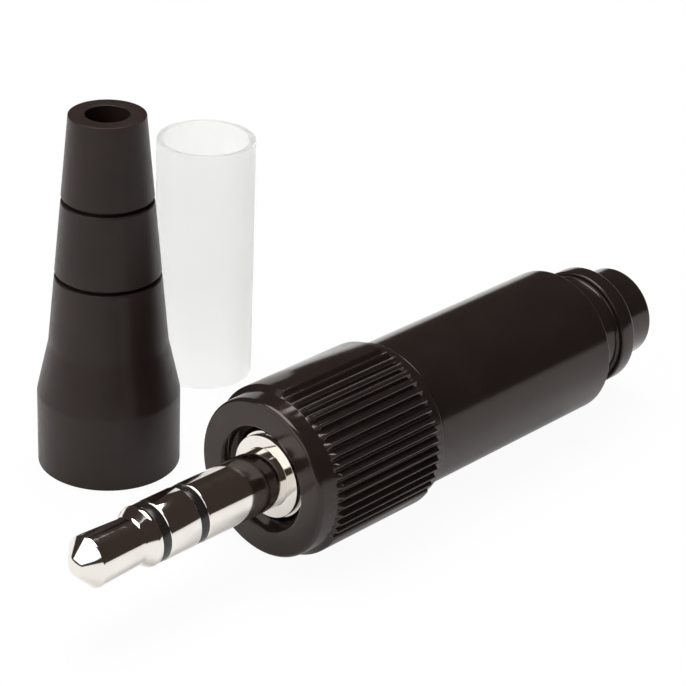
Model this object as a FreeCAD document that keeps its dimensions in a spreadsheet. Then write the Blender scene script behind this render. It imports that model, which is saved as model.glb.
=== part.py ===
"""Three-pole 3.5 mm jack plug with a knurled locking nut, lying on its nut.

The plug's axis is the X axis. X grows from the tip towards the cable, and Z is up.
The origin is on the axis at the front face of the sleeve's flange, where the shaft begins.
The bend relief boot and the insulating tube are taken off and stand beside the plug.
All sizes are in millimetres and degrees.
"""
import FreeCAD, Part
import math
import os
import re
import Sketcher

SIZES = {
    # Shaft, from the flange forward to the nose
    "shaft_radius": 1.75,
    "sleeve_length": 5.91,
    "spacer_length": 0.59,
    "spacer_recess": 0.03,
    "ring_length": 2.19,
    "tip_land": 0.25,
    "flare_length": 0.59,
    "neck_radius": 1.36,
    "neck_length": 3.07,
    "arris_radius": 1.5,
    "nose_length": 0.98,
    "nose_radius": 0.42,
    "nose_rounding": 0.3,
    "contact_chamfer": 0.14,
    # Coaxial tubes inside the shaft
    "rod_radius": 0.45,
    "tip_spacer_wall": 0.25,
    "ring_wall": 0.25,
    "ring_spacer_wall": 0.3,
    "sleeve_tube_radius": 1.58,
    "push_fit": 0.02,
    # Sleeve flange and threaded body
    "flange_radius": 2.47,
    "flange_thickness": 0.42,
    "flange_chamfer": 0.06,
    "body_nose_radius": 2.62,
    "body_nose_length": 0.5,
    "shank_radius": 2.35,
    "seat_radius": 3.95,
    "seat_thickness": 0.2,
    "thread_radius": 3.45,
    "thread_length": 4.0,
    "thread_lead_in": 0.3,
    # Locking nut
    "nut_length": 10.1,
    "nut_reveal": 0.4,
    "nut_gap": 0.05,
    "nut_face_radius": 4.5,
    "nut_chamfer": 0.28,
    "nut_rim_radius": 4.9,
    "lock_bore_radius": 2.8,
    "mouth_radius": 3.15,
    "mouth_depth": 0.35,
    "nut_radius": 5.1,
    "knurl_start": 1.1,
    "knurl_length": 8.55,
    "knurl_depth": 0.19,
    "knurl_angle": 104,
    "knurl_pitch": 6,
    "knurl_grooves": 18,
    "knurl_panels": 2,
    "knurl_margin": 0.1,
    # Split ring that holds the nut on the shank
    "split_ring_thickness": 0.5,
    "split_ring_radius": 3.3,
    "split_ring_gap": 1.2,
    "split_ring_setback": 1.6,
    "running_fit": 0.05,
    # Barrel
    "barrel_radius": 4.56,
    "barrel_length": 15.35,
    "barrel_chamfer": 0.12,
    "barrel_end_wall": 1.15,
    "snap_radius": 3.35,
    "snap_width": 2.35,
    "collar_radius": 3.75,
    "collar_length": 1.25,
    "collar_chamfer": 0.15,
    "stub_radius": 2.87,
    "stub_length": 2.7,
    "stub_chamfer": 0.18,
    "cable_radius": 1.65,
    # Solder lugs
    "lug_thickness": 0.3,
    "rivet_height": 0.2,
    "rivet_rim": 0.35,
    "lug_washer_thickness": 0.4,
    "lug_clearance": 0.1,
    "lug_length": 5.2,
    "lug_width": 1.3,
    "solder_hole_radius": 0.4,
    "solder_hole_inset": 1.0,
    "tip_lug_radius": 1.5,
    "ring_lug_radius": 1.7,
    "ring_lug_reach": 2.05,
    "ground_lug_radius": 2.45,
    "clamp_length": 3.0,
    "clamp_end_gap": 1.0,
    "clamp_radius": 1.5,
    "clamp_mouth": 1.9,
    # Bend relief boot
    "boot_height": 22.3,
    "boot_top_radius": 2.26,
    "boot_neck_radius": 3.57,
    "boot_neck_height": 7.9,
    "boot_skirt_radius": 4.28,
    "boot_skirt_height": 4.7,
    "boot_cable_radius": 1.29,
    "boot_top_edge": 0.08,
    "boot_slot_width": 0.26,
    "boot_slot_depth": 0.4,
    "boot_slot_spacing": 4.75,
    "boot_lower_slot_height": 12.4,
    "boot_fit": 0.04,
    # Insulating tube
    "tube_radius": 3.11,
    "tube_wall": 0.38,
    "tube_length": 16.06,
    # Where the loose pieces stand
    "boot_along": 1.05,
    "boot_aside": 14.43,
    "tube_along": 13.25,
    "tube_aside": 19.06,
}


def write_sheet(document, sizes):
    """Put each size in its own cell, with its name beside it as the alias."""
    sheet = document.addObject("Spreadsheet::Sheet", "sizes")
    for row, (name, size) in enumerate(sizes.items(), start=1):
        sheet.set(f"A{row}", name.replace("_", " "))
        sheet.set(f"B{row}", str(size))
        sheet.setAlias(f"B{row}", name)
    document.recompute()
    return sheet


def bound(text):
    """Turn size names in a formula into references to the sheet."""
    return re.sub(r"[a-z]+(_[a-z]+)+", lambda word: "sizes." + word.group(0), text)


def total(*terms):
    """Add up formulas, each in its own brackets."""
    return " + ".join(f"({term})" for term in terms)


def origin_feature(body, role):
    """Find one of a body's own origin planes or axes."""
    return next(item for item in body.Origin.OriginFeatures if item.Role == role)


def new_body(document, label, along="0", aside="0", up="0", turn=None):
    """Start a body whose placement follows the sheet. A turn is about the plug's axis."""
    body = document.addObject("PartDesign::Body", label)
    body.Label = label
    if turn is not None:
        body.Placement = FreeCAD.Placement(FreeCAD.Vector(), FreeCAD.Rotation(FreeCAD.Vector(1, 0, 0), 1))
        body.setExpression("Placement.Rotation.Angle", bound(turn))
    for axis, place in (("x", along), ("y", aside), ("z", up)):
        body.setExpression(f"Placement.Base.{axis}", bound(place))
    return body


def new_sketch(body, name, role):
    """Start a sketch on one of the body's origin planes."""
    sketch = body.newObject("Sketcher::SketchObject", name)
    sketch.AttachmentSupport = [(origin_feature(body, role), "")]
    sketch.MapMode = "FlatFace"
    return sketch


def pin_coordinate(sketch, kind, corner, place):
    """Hold one coordinate of a corner at a formula, or on the axis where it is zero."""
    if place == "0":
        axis = -2 if kind == "DistanceX" else -1
        sketch.addConstraint(Sketcher.Constraint("PointOnObject", corner, 1, axis))
        return
    number = sketch.addConstraint(Sketcher.Constraint(kind, corner, 1, 1.0))
    sketch.setExpression(f"Constraints[{number}]", bound(place))


def draw_outline(sketch, corners):
    """Draw a closed outline of straight lines through corners given as pairs of formulas."""
    count = len(corners)
    starts = [
        FreeCAD.Vector(math.cos(math.tau * i / count) + 2, math.sin(math.tau * i / count) + 2, 0)
        for i in range(count)
    ]
    for i in range(count):
        sketch.addGeometry(Part.LineSegment(starts[i], starts[(i + 1) % count]), False)
    for i in range(count):
        sketch.addConstraint(Sketcher.Constraint("Coincident", i, 2, (i + 1) % count, 1))
    for i, (across, up) in enumerate(corners):
        pin_coordinate(sketch, "DistanceX", i, across)
        pin_coordinate(sketch, "DistanceY", i, up)


def draw_circle(sketch, radius, across="0", up="0"):
    """Draw a circle whose radius and centre follow the sheet."""
    circle = sketch.addGeometry(Part.Circle(FreeCAD.Vector(0, 0, 0), FreeCAD.Vector(0, 0, 1), 1), False)
    number = sketch.addConstraint(Sketcher.Constraint("Radius", circle, 1.0))
    sketch.setExpression(f"Constraints[{number}]", bound(radius))
    for kind, place, axis in (("DistanceX", across, -2), ("DistanceY", up, -1)):
        if place == "0":
            sketch.addConstraint(Sketcher.Constraint("PointOnObject", circle, 3, axis))
        else:
            number = sketch.addConstraint(Sketcher.Constraint(kind, circle, 3, 1.0))
            sketch.setExpression(f"Constraints[{number}]", bound(place))


def pad(body, sketch, length, midplane=False):
    """Raise a sketch by a length, or half each way."""
    feature = body.newObject("PartDesign::Pad", sketch.Label + "_pad")
    feature.Profile = sketch
    feature.Midplane = midplane
    feature.setExpression("Length", bound(length))
    return feature


def cut_through(body, sketch):
    """Cut a sketch through the whole body, both ways."""
    feature = body.newObject("PartDesign::Pocket", sketch.Label + "_cut")
    feature.Profile = sketch
    feature.Type = "ThroughAll"
    feature.Midplane = True
    return feature


def circle_edges(feature, place, radius, upright):
    """Name the circular edges of a feature with one place on the axis and one radius."""
    names = []
    for number, edge in enumerate(feature.Shape.Edges, start=1):
        if edge.Curve.TypeId != "Part::GeomCircle":
            continue
        centre = edge.Curve.Center.z if upright else edge.Curve.Center.x
        if abs(centre - place) < 1e-5 and abs(edge.Curve.Radius - radius) < 1e-5:
            names.append(f"Edge{number}")
    return names


def dress(body, base, sketch, kind, corners, size, upright):
    """Fillet or chamfer the circles that some corners of a turned outline trace."""
    edges = []
    for corner in corners:
        start = sketch.Geometry[corner].StartPoint
        place, radius = (start.y, start.x) if upright else (start.x, start.y)
        edges += circle_edges(base, place, radius, upright)
    feature = body.newObject(f"PartDesign::{kind}", f"{kind}_{size}")
    feature.Base = (base, edges)
    feature.setExpression("Radius" if kind == "Fillet" else "Size", bound(size))
    body.Document.recompute()
    return feature


def turn_outline(body, corners, edges=(), upright=False):
    """Revolve an outline of (place along the axis, radius) corners into the body.

    The axis is X, or Z if upright. Each entry of edges is a kind, a size and corner numbers.
    """
    sketch = new_sketch(body, "outline", "XZ_Plane")
    draw_outline(sketch, [(radius, along) for along, radius in corners] if upright else corners)
    feature = body.newObject("PartDesign::Revolution", "turning")
    feature.Profile = (sketch, [""])
    feature.ReferenceAxis = (sketch, ["V_Axis" if upright else "H_Axis"])
    feature.Angle = 360
    body.Document.recompute()
    for kind, size, numbers in edges:
        feature = dress(body, feature, sketch, kind, numbers, size, upright)
    return feature


# Places along the plug's axis, as formulas
RING_SPACER_FRONT = "-(sleeve_length + spacer_length)"
RING_FRONT = "-(sleeve_length + spacer_length + ring_length)"
TIP_SPACER_FRONT = "-(sleeve_length + 2 * spacer_length + ring_length)"
NOSE = total(TIP_SPACER_FRONT, "-(tip_land + flare_length + neck_length + nose_length)")
NUT_REAR = "nut_length - nut_reveal"
SEAT_FRONT = total(NUT_REAR, "nut_gap")
BARREL_FRONT = total(SEAT_FRONT, "seat_thickness")
BODY_REAR = total(BARREL_FRONT, "thread_length")
SLEEVE_REAR = total(BODY_REAR, "lug_thickness + rivet_height")
RING_LUG_FRONT = total(SLEEVE_REAR, "lug_washer_thickness")
RING_REAR = total(RING_LUG_FRONT, "lug_thickness + rivet_height")
TIP_LUG_FRONT = total(RING_REAR, "lug_washer_thickness")
ROD_REAR = total(TIP_LUG_FRONT, "lug_thickness + rivet_height")
FLOOR = "-nut_radius"

# The ground lug's tail is as long as puts its clamp a gap before the barrel's end wall
CAVITY_END = "barrel_length - barrel_end_wall"
GROUND_TAIL = f"{CAVITY_END} - clamp_end_gap - clamp_length - thread_length"

# Radii of the tubes inside the shaft, from the middle outwards
TIP_SPACER_BORE = "rod_radius + push_fit"
TIP_SPACER_OUTER = total(TIP_SPACER_BORE, "tip_spacer_wall")
RING_BORE = total(TIP_SPACER_OUTER, "push_fit")
RING_OUTER = total(RING_BORE, "ring_wall")
RING_SPACER_BORE = total(RING_OUTER, "push_fit")
RING_SPACER_OUTER = total(RING_SPACER_BORE, "ring_spacer_wall")
SLEEVE_BORE = total(RING_SPACER_OUTER, "push_fit")
BODY_BORE = "sleeve_tube_radius + push_fit"


def from_front(place, front):
    """Measure a place on the plug's axis from a piece's own front."""
    return f"({place}) - ({front})"


def make_tip_contact(document):
    """Tip with its cone, neck and flare, on the rod that runs back to its lug."""
    body = new_body(document, "tip_contact", along=NOSE)
    neck_end = "nose_length + neck_length"
    tip_end = total(neck_end, "flare_length + tip_land")
    lug_rear = from_front(total(TIP_LUG_FRONT, "lug_thickness"), NOSE)
    corners = [
        ("0", "0"),
        ("0", "nose_radius"),
        ("nose_length", "arris_radius"),
        (neck_end, "neck_radius"),
        (total(neck_end, "flare_length"), "shaft_radius"),
        (tip_end, "shaft_radius"),
        (tip_end, "rod_radius"),
        (lug_rear, "rod_radius"),
        (lug_rear, "rod_radius + rivet_rim"),
        (from_front(ROD_REAR, NOSE), "rod_radius + rivet_rim"),
        (from_front(ROD_REAR, NOSE), "0"),
    ]
    turn_outline(body, corners, [("Fillet", "nose_rounding", [1])])
    return body


def make_spacer(document, label, front, rear, bore, outer):
    """Insulating tube with the collar that shows between two contacts."""
    body = new_body(document, label, along=front)
    corners = [
        ("0", bore),
        ("0", "shaft_radius - spacer_recess"),
        ("spacer_length", "shaft_radius - spacer_recess"),
        ("spacer_length", outer),
        (from_front(rear, front), outer),
        (from_front(rear, front), bore),
    ]
    turn_outline(body, corners)
    return body


def make_tip_insulator(document):
    """Spacer between tip and ring, on a tube round the rod."""
    tube = (TIP_SPACER_BORE, TIP_SPACER_OUTER)
    return make_spacer(document, "tip_insulator", TIP_SPACER_FRONT, TIP_LUG_FRONT, *tube)


def make_ring_insulator(document):
    """Spacer between ring and sleeve, on a tube round the ring's tube."""
    tube = (RING_SPACER_BORE, RING_SPACER_OUTER)
    return make_spacer(document, "ring_insulator", RING_SPACER_FRONT, RING_LUG_FRONT, *tube)


def make_ring_contact(document):
    """Ring on the tube that runs back to its lug, with a riveted end."""
    body = new_body(document, "ring_contact", along=RING_FRONT)
    lug_rear = from_front(total(RING_LUG_FRONT, "lug_thickness"), RING_FRONT)
    rear = from_front(RING_REAR, RING_FRONT)
    corners = [
        ("0", RING_BORE),
        ("0", "shaft_radius"),
        ("ring_length", "shaft_radius"),
        ("ring_length", RING_OUTER),
        (lug_rear, RING_OUTER),
        (lug_rear, total(RING_OUTER, "rivet_rim")),
        (rear, total(RING_OUTER, "rivet_rim")),
        (rear, RING_BORE),
    ]
    turn_outline(body, corners, [("Chamfer", "contact_chamfer", [1])])
    return body


def make_sleeve_contact(document):
    """Sleeve with its flange, on the tube that is riveted behind the ground lug."""
    front = "-sleeve_length"
    body = new_body(document, "sleeve_contact", along=front)
    flange_rear = "sleeve_length + flange_thickness"
    lug_rear = from_front(total(BODY_REAR, "lug_thickness"), front)
    rear = from_front(SLEEVE_REAR, front)
    corners = [
        ("0", SLEEVE_BORE),
        ("0", "shaft_radius"),
        ("sleeve_length", "shaft_radius"),
        ("sleeve_length", "flange_radius"),
        (flange_rear, "flange_radius"),
        (flange_rear, "sleeve_tube_radius"),
        (lug_rear, "sleeve_tube_radius"),
        (lug_rear, "sleeve_tube_radius + rivet_rim"),
        (rear, "sleeve_tube_radius + rivet_rim"),
        (rear, SLEEVE_BORE),
    ]
    turn_outline(body, corners, [("Chamfer", "contact_chamfer", [1]), ("Chamfer", "flange_chamfer", [3])])
    return body


def make_threaded_body(document):
    """Shank that the nut runs on, its seat for the barrel and the barrel's thread."""
    front = "flange_thickness"
    body = new_body(document, "threaded_body", along=front)
    seat = from_front(SEAT_FRONT, front)
    barrel = from_front(BARREL_FRONT, front)
    rear = from_front(BODY_REAR, front)
    corners = [
        ("0", BODY_BORE),
        ("0", "body_nose_radius"),
        ("body_nose_length", "body_nose_radius"),
        ("body_nose_length", "shank_radius"),
        (seat, "shank_radius"),
        (seat, "seat_radius"),
        (barrel, "seat_radius"),
        (barrel, "thread_radius"),
        (rear, "thread_radius"),
        (rear, BODY_BORE),
    ]
    turn_outline(body, corners, [("Chamfer", "thread_lead_in", [8])])
    return body


def make_locking_nut(document):
    """Nut with its lock bore, its groove for the split ring and two panels of straight knurling."""
    body = new_body(document, "locking_nut", along="-nut_reveal", turn="knurl_pitch")
    groove_rear = "nut_length - split_ring_setback + running_fit"
    groove_front = "nut_length - split_ring_setback - split_ring_thickness - running_fit"
    corners = [
        ("0", "mouth_radius"),
        ("0", "nut_face_radius"),
        ("nut_chamfer", "nut_rim_radius"),
        ("knurl_start", "nut_rim_radius"),
        ("knurl_start", "nut_radius"),
        ("nut_length", "nut_radius"),
        ("nut_length", "lock_bore_radius"),
        (groove_rear, "lock_bore_radius"),
        (groove_rear, "split_ring_radius + running_fit"),
        (groove_front, "split_ring_radius + running_fit"),
        (groove_front, "lock_bore_radius"),
        ("mouth_depth", "lock_bore_radius"),
    ]
    turn_outline(body, corners)
    groove = new_sketch(body, "groove", "YZ_Plane")
    start = FreeCAD.Vector(0, 0, SIZES["knurl_start"])
    groove.AttachmentOffset = FreeCAD.Placement(start, FreeCAD.Rotation())
    groove.setExpression("AttachmentOffset.Base.z", bound("knurl_start - knurl_margin"))
    half_mouth = "(knurl_depth + knurl_margin) * tan(knurl_angle / 2)"
    draw_outline(groove, [
        (half_mouth, "nut_radius + knurl_margin"),
        ("0", "nut_radius - knurl_depth"),
        (f"-{half_mouth}", "nut_radius + knurl_margin"),
    ])
    first_groove = body.newObject("PartDesign::Pocket", "groove_cut")
    first_groove.Profile = groove
    first_groove.Reversed = True
    first_groove.setExpression("Length", bound("knurl_margin + knurl_length"))
    document.recompute()
    knurl = body.newObject("PartDesign::MultiTransform", "knurl")
    knurl.Originals = [first_groove]
    panel = body.newObject("PartDesign::PolarPattern", "panel")
    panel.Axis = (origin_feature(body, "X_Axis"), [""])
    panel.setExpression("Angle", bound("(knurl_grooves - 1) * knurl_pitch"))
    panel.setExpression("Occurrences", bound("knurl_grooves"))
    panels = body.newObject("PartDesign::PolarPattern", "panels")
    panels.Axis = (origin_feature(body, "X_Axis"), [""])
    panels.Angle = 360
    panels.setExpression("Occurrences", bound("knurl_panels"))
    knurl.Transformations = [panel, panels]
    body.Tip = knurl
    return body


def make_split_ring(document):
    """Split ring that turns in the nut's groove, slides on the shank and stops behind the body's nose."""
    front = total(NUT_REAR, "-(split_ring_setback + split_ring_thickness)")
    body = new_body(document, "nut_retaining_ring", along=front)
    ring = new_sketch(body, "ring", "YZ_Plane")
    draw_circle(ring, "split_ring_radius")
    draw_circle(ring, "shank_radius + running_fit")
    pad(body, ring, "split_ring_thickness")
    split = new_sketch(body, "split", "YZ_Plane")
    draw_outline(split, [
        ("split_ring_gap / 2", "0"),
        ("split_ring_gap / 2", "split_ring_radius * 2"),
        ("-split_ring_gap / 2", "split_ring_radius * 2"),
        ("-split_ring_gap / 2", "0"),
    ])
    cut_through(body, split)
    return body


def make_barrel(document):
    """Hollow barrel with a groove, a collar and a stub behind it, where the boot snaps on."""
    body = new_body(document, "barrel", along=BARREL_FRONT)
    collar_front = "barrel_length + snap_width"
    collar_end = total(collar_front, "collar_length")
    stub_end = total(collar_end, "stub_length")
    corners = [
        ("0", "thread_radius + running_fit"),
        ("0", "barrel_radius"),
        ("barrel_length", "barrel_radius"),
        ("barrel_length", "snap_radius"),
        (collar_front, "snap_radius"),
        (collar_front, "collar_radius"),
        (collar_end, "collar_radius"),
        (collar_end, "stub_radius"),
        (stub_end, "stub_radius"),
        (stub_end, "cable_radius"),
        (CAVITY_END, "cable_radius"),
        (CAVITY_END, "thread_radius + running_fit"),
    ]
    turn_outline(body, corners, [
        ("Chamfer", "barrel_chamfer", [1, 2]),
        ("Chamfer", "collar_chamfer", [5, 6]),
        ("Chamfer", "stub_chamfer", [8]),
    ])
    return body


def make_washer(document, label, front, bore, tail):
    """Insulating washer between two lugs, clear of the tail that passes it."""
    body = new_body(document, label, along=front)
    face = new_sketch(body, "face", "YZ_Plane")
    draw_circle(face, f"{tail} - lug_thickness - lug_clearance")
    draw_circle(face, bore)
    pad(body, face, "lug_washer_thickness")
    return body


def make_lug(document, label, front, turn, bore, disc, reach, length):
    """Solder lug: a disc round its contact, with a tail bent back along the axis."""
    body = new_body(document, label, along=front, turn=turn)
    face = new_sketch(body, "face", "YZ_Plane")
    draw_circle(face, disc)
    draw_circle(face, bore)
    pad(body, face, "lug_thickness")
    tail = new_sketch(body, "tail", "XZ_Plane")
    draw_outline(tail, [
        ("0", total(bore, "lug_thickness")),
        ("0", reach),
        (length, reach),
        (length, f"({reach}) - lug_thickness"),
        ("lug_thickness", f"({reach}) - lug_thickness"),
        ("lug_thickness", total(bore, "lug_thickness")),
    ])
    pad(body, tail, "lug_width", midplane=True)
    return body


def drill_solder_hole(body, length):
    """Drill the hole for the wire near the end of a lug's tail."""
    hole = new_sketch(body, "solder_hole", "XY_Plane")
    draw_circle(hole, "solder_hole_radius", across=f"({length}) - solder_hole_inset")
    cut_through(body, hole)


def make_ground_lug(document):
    """Ground lug whose tail ends in an open clamp for the cable's jacket."""
    reach = "ground_lug_radius"
    body = make_lug(document, "ground_lug", BODY_REAR, "180", BODY_BORE, reach, reach, GROUND_TAIL)
    centre = "ground_lug_radius - lug_thickness - clamp_radius"
    ring = new_sketch(body, "clamp", "YZ_Plane")
    ring.setExpression("AttachmentOffset.Base.z", bound(GROUND_TAIL))
    draw_circle(ring, "clamp_radius + lug_thickness", up=centre)
    draw_circle(ring, "clamp_radius", up=centre)
    pad(body, ring, "clamp_length")
    mouth = new_sketch(body, "clamp_mouth", "YZ_Plane")
    mouth.setExpression("AttachmentOffset.Base.z", bound(GROUND_TAIL))
    draw_outline(mouth, [
        ("clamp_mouth / 2", centre),
        ("clamp_mouth / 2", "-ground_lug_radius"),
        ("-clamp_mouth / 2", "-ground_lug_radius"),
        ("-clamp_mouth / 2", centre),
    ])
    opening = body.newObject("PartDesign::Pocket", "clamp_mouth_cut")
    opening.Profile = mouth
    opening.Reversed = True
    opening.setExpression("Length", bound("clamp_length"))
    return body


def make_boot(document):
    """Bend relief boot, standing on its open end, with a lip that snaps into the barrel's groove."""
    body = new_body(document, "bend_relief_boot", along="boot_along", aside="boot_aside", up=FLOOR)
    lip = "snap_width - boot_fit"
    collar_depth = "snap_width + collar_length + boot_fit"
    stub_depth = total(collar_depth, "stub_length")
    corners = [
        ("0", "snap_radius + boot_fit"),
        ("0", "boot_skirt_radius"),
        ("boot_skirt_height", "boot_skirt_radius"),
        ("boot_neck_height", "boot_neck_radius"),
        ("boot_height", "boot_top_radius"),
        ("boot_height", "boot_cable_radius"),
        (stub_depth, "boot_cable_radius"),
        (stub_depth, "stub_radius + boot_fit"),
        (collar_depth, "stub_radius + boot_fit"),
        (collar_depth, "collar_radius + boot_fit"),
        (lip, "collar_radius + boot_fit"),
        (lip, "snap_radius + boot_fit"),
    ]
    turn_outline(body, corners, [("Chamfer", "boot_top_edge", [4])], upright=True)
    for name, height in (
        ("lower_slot", "boot_lower_slot_height"),
        ("upper_slot", "boot_lower_slot_height + boot_slot_spacing"),
    ):
        wall = f"boot_neck_radius - (boot_neck_radius - boot_top_radius) * ({height} - boot_neck_height)" \
            " / (boot_height - boot_neck_height)"
        slot = new_sketch(body, name, "XZ_Plane")
        draw_outline(slot, [
            (total(wall, "-boot_slot_depth"), total(height, "-boot_slot_width / 2")),
            (total(wall, "boot_slot_depth"), total(height, "-boot_slot_width / 2")),
            (total(wall, "boot_slot_depth"), total(height, "boot_slot_width / 2")),
            (total(wall, "-boot_slot_depth"), total(height, "boot_slot_width / 2")),
        ])
        groove = body.newObject("PartDesign::Groove", name + "_groove")
        groove.Profile = slot
        groove.ReferenceAxis = (slot, ["V_Axis"])
        groove.Angle = 360
    return body


def make_insulating_tube(document):
    """Clear tube that slips over the lugs, standing on its end."""
    body = new_body(document, "insulating_tube", along="tube_along", aside="tube_aside", up=FLOOR)
    corners = [
        ("0", "tube_radius - tube_wall"),
        ("0", "tube_radius"),
        ("tube_length", "tube_radius"),
        ("tube_length", "tube_radius - tube_wall"),
    ]
    turn_outline(body, corners, upright=True)
    return body


def build(document):
    """Make every piece of the plug."""
    write_sheet(document, SIZES)
    reach = "tip_lug_radius"
    tip_lug = make_lug(document, "tip_lug", TIP_LUG_FRONT, "0", TIP_SPACER_BORE, reach, reach, "lug_length")
    drill_solder_hole(tip_lug, "lug_length")
    disc = "ring_lug_radius"
    reach = "ring_lug_reach"
    ring_lug = make_lug(
        document, "ring_lug", RING_LUG_FRONT, "90", RING_SPACER_BORE, disc, reach, "lug_length"
    )
    drill_solder_hole(ring_lug, "lug_length")
    return [
        make_tip_contact(document),
        make_tip_insulator(document),
        make_ring_contact(document),
        make_ring_insulator(document),
        make_sleeve_contact(document),
        make_threaded_body(document),
        make_split_ring(document),
        make_locking_nut(document),
        make_barrel(document),
        make_ground_lug(document),
        make_washer(document, "ring_lug_washer", SLEEVE_REAR, SLEEVE_BORE, "ground_lug_radius"),
        ring_lug,
        make_washer(document, "tip_lug_washer", RING_REAR, RING_BORE, "ring_lug_reach"),
        tip_lug,
        make_boot(document),
        make_insulating_tube(document),
    ]


def check(document, bodies):
    """Stop if any object failed or any piece has no sound solid."""
    for item in document.Objects:
        if "Invalid" in item.State or "Error" in item.State:
            raise RuntimeError(f"{item.Label} failed: {item.State}")
    for body in bodies:
        if body.Shape.isNull() or not body.Shape.isValid() or len(body.Shape.Solids) != 1:
            raise RuntimeError(f"{body.Label} is not one sound solid")


def main():
    document = FreeCAD.newDocument("jack_plug")
    bodies = build(document)
    document.recompute()
    check(document, bodies)
    os.makedirs("parts", exist_ok=True)
    for body in bodies:
        body.Shape.exportStep(f"parts/{body.Label}.step")
        box = body.Shape.BoundBox
        print(f"{body.Label}: {body.Shape.Volume:.2f} mm3, x {box.XMin:.2f} to {box.XMax:.2f}")


main()
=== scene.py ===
# %% [markdown]
# A three-pole 3.5 mm jack plug lies on its knurled locking nut. Its bend relief boot and its
# clear insulating tube stand behind it. The solids are loaded as a fixed frame, in metres, with
# the plug's axis along X, the cable end towards +X, and Z up. Every piece made here takes its
# place from those solids.

# %% Load the solids
import math

import bmesh
import bpy
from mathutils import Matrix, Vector


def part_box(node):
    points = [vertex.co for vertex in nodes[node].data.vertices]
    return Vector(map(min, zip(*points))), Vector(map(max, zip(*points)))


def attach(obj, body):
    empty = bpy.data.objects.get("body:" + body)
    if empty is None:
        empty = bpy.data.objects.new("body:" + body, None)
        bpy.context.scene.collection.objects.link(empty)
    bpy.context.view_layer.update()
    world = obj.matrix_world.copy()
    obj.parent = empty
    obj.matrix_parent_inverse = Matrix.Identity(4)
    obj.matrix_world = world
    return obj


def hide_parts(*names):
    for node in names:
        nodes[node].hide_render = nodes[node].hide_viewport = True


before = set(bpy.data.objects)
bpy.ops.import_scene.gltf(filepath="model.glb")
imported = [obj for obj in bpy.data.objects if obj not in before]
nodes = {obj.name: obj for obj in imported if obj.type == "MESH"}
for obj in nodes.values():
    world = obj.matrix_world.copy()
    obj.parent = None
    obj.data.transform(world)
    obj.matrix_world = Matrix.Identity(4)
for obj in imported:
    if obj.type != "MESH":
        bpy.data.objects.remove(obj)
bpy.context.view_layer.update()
MM = 0.001
print("solids loaded:", sorted(nodes))

# %% [markdown]
# Later cells ask the solids where they begin and end. The numbers could be copied here, but they
# would then be wrong as soon as a solid moved, so two short helpers read them instead. Everything
# is deselected first, because loading leaves the solids selected and the operators would act on
# them too.

# %% Helpers that measure the solids
def low(node):
    """Lowest corner of a solid, in millimetres."""
    return Vector(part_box(node)[0]) / MM


def high(node):
    """Highest corner of a solid, in millimetres."""
    return Vector(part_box(node)[1]) / MM


bpy.ops.object.select_all(action="DESELECT")
FLOOR = low("bend_relief_boot").z
print("floor height in mm:", round(FLOOR, 3))

# %% [markdown]
# The camera stands where the photograph's did: above the plug, in front of its tip and to one
# side. It could be placed by eye, but angles, a distance and an aim are easier to tune one at a
# time. A long lens keeps the near tip from growing too large.

# %% Place the camera
AZIMUTH = math.radians(-47.27)
ELEVATION = math.radians(27.0)
ROLL = math.radians(2.44)
FIELD_OF_VIEW = math.radians(15.62)
DISTANCE = 140.1 * MM
AIM = Vector((5.13, -0.75, 6.97)) * MM

camera_data = bpy.data.cameras.new("camera")
camera_data.sensor_width = 36.0
camera_data.lens = camera_data.sensor_width / 2 / math.tan(FIELD_OF_VIEW / 2)
camera_data.clip_start = 10 * MM
camera_data.clip_end = 10
camera = bpy.data.objects.new("camera", camera_data)
bpy.context.scene.collection.objects.link(camera)
look = Vector((
    -math.sin(AZIMUTH) * math.cos(ELEVATION),
    math.cos(AZIMUTH) * math.cos(ELEVATION),
    -math.sin(ELEVATION),
))
camera.location = AIM - look * DISTANCE
camera.rotation_euler = look.to_track_quat("-Z", "Y").to_euler()
camera.rotation_euler.rotate_axis("Z", ROLL)
bpy.context.scene.camera = camera
print("camera at", [round(value / MM, 1) for value in camera.location], "mm")

# %% [markdown]
# Almost every piece of a plug is turned on a lathe, so one helper does what the lathe does.
# Cylinders and cones could be stacked instead, but they would leave seams and inner walls. A
# plane is added at the first corner of the section and merged to a single point. The point is
# extruded from corner to corner, which draws half a section, and corners that the real piece has
# rounded are bevelled while they are still points. The outline is then spun round the axis. Last,
# every sharp edge gets a narrow bevel, because no real edge is perfectly sharp. The shading is
# weighted by the size of the faces, more strongly on smooth metal, so that bevels don't tilt it.

# %% Helpers that draw and turn a section
ROUND_STEPS = 120
CORNER_SEGMENTS = 6
MERGE_DISTANCE = 0.0002 * MM
NEAR = 0.01
SHARP_ANGLE = math.radians(28)
NEUTRAL_WEIGHT = 50
SMOOTH_METAL_WEIGHT = 75


def select_where(piece, kind, test):
    """In edit mode, select the points or faces whose place, in millimetres, passes a test."""
    bpy.ops.mesh.select_mode(type=kind)
    bpy.ops.mesh.select_all(action="DESELECT")
    mesh = bmesh.from_edit_mesh(piece.data)
    items = mesh.verts if kind == "VERT" else mesh.faces
    for item in items:
        place = item.co if kind == "VERT" else item.calc_center_median()
        item.select = test((piece.matrix_world @ place) / MM)
    mesh.select_flush(True)
    bmesh.update_edit_mesh(piece.data)


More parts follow.
